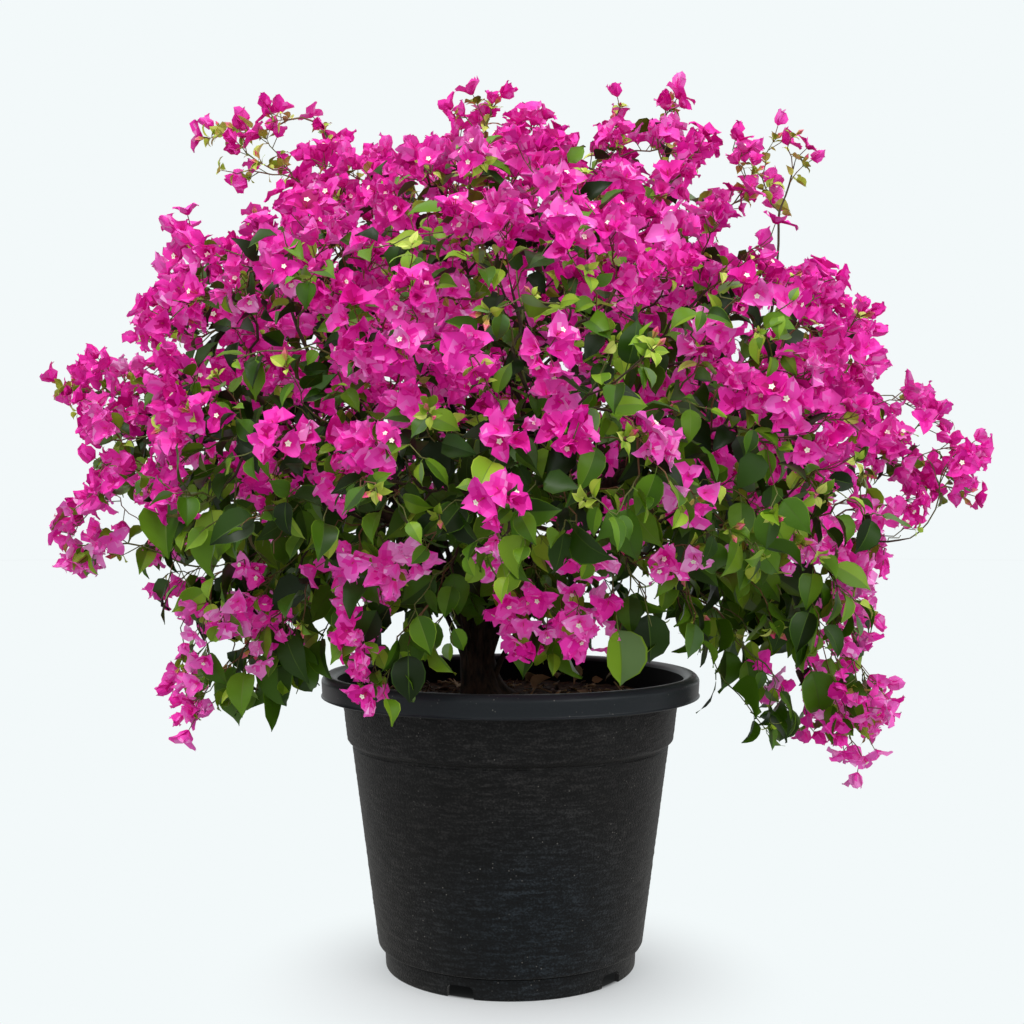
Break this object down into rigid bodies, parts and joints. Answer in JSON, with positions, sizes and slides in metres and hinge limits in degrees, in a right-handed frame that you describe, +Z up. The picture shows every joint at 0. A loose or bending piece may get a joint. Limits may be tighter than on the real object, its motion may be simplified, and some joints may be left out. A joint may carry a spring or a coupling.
{
  "type": "potted bougainvillea bush",
  "caption": "Round free-growing bougainvillea bush in magenta bloom, weeping at the sides, in a round black plastic nursery pot with a rolled rim.",
  "frame": {"origin": "on the ground, under the middle of the bush, which is on the axis of the pot", "axes": "+Z up along the pot's axis, +X to the right along the bush's widest spread, -Y towards the front"},
  "size_m": [1.0661, 0.9171, 0.9815],
  "materials": {
    "pot_plastic": "satin",
    "potting_soil": "matte",
    "bark": "matte",
    "leaf": "satin",
    "blossom": "matte"
  },
  "bodies": {
    "root": {"pot": "pot_plastic", "soil": "potting_soil", "trunk": "bark", "bough_left": "bark", "bough_right": "bark", "bough_middle": "bark", "bough_front": "bark", "bough_back": "bark", "bough_front_left": "bark", "bough_back_left": "bark", "bough_front_right": "bark", "bough_back_right": "bark", "foliage_heart_upper": "leaf", "foliage_heart_lower": "leaf", "foliage_top_middle": "blossom", "foliage_top_right": "blossom", "foliage_top_left": "blossom", "foliage_top_front": "blossom", "foliage_top_back": "blossom", "foliage_shoulder_right": "blossom", "foliage_shoulder_back_right": "blossom", "foliage_shoulder_back": "blossom", "foliage_shoulder_back_left": "blossom", "foliage_shoulder_left": "blossom", "foliage_shoulder_front_left": "blossom", "foliage_shoulder_front": "blossom", "foliage_shoulder_front_right": "blossom", "foliage_waist_right": "blossom", "foliage_waist_back_right": "blossom", "foliage_waist_back": "blossom", "foliage_waist_back_left": "blossom", "foliage_waist_left": "blossom", "foliage_waist_front_left": "blossom", "foliage_waist_front": "blossom", "foliage_waist_front_right": "blossom", "foliage_skirt_left": "leaf", "foliage_skirt_back_left": "leaf", "foliage_skirt_back_right": "leaf", "foliage_skirt_right": "leaf", "foliage_skirt_front_left": "leaf", "foliage_skirt_front_right": "leaf", "foliage_sprig_top": "blossom", "foliage_sprig_top_right": "blossom", "foliage_sprig_top_left": "blossom", "foliage_spray_upper_left": "blossom", "foliage_spray_upper_right": "blossom", "foliage_tip_left": "blossom", "foliage_tip_right": "blossom", "foliage_tip_front": "blossom", "foliage_tip_back": "blossom", "foliage_spray_right": "blossom", "foliage_spray_left": "blossom", "foliage_hanging_left": "blossom", "foliage_hanging_inner_left": "blossom", "foliage_hanging_front_left": "blossom", "foliage_hanging_front": "blossom", "foliage_hanging_inner_right": "blossom", "foliage_hanging_right": "blossom", "foliage_hanging_far_right": "blossom"}
  },
  "joints": []
}
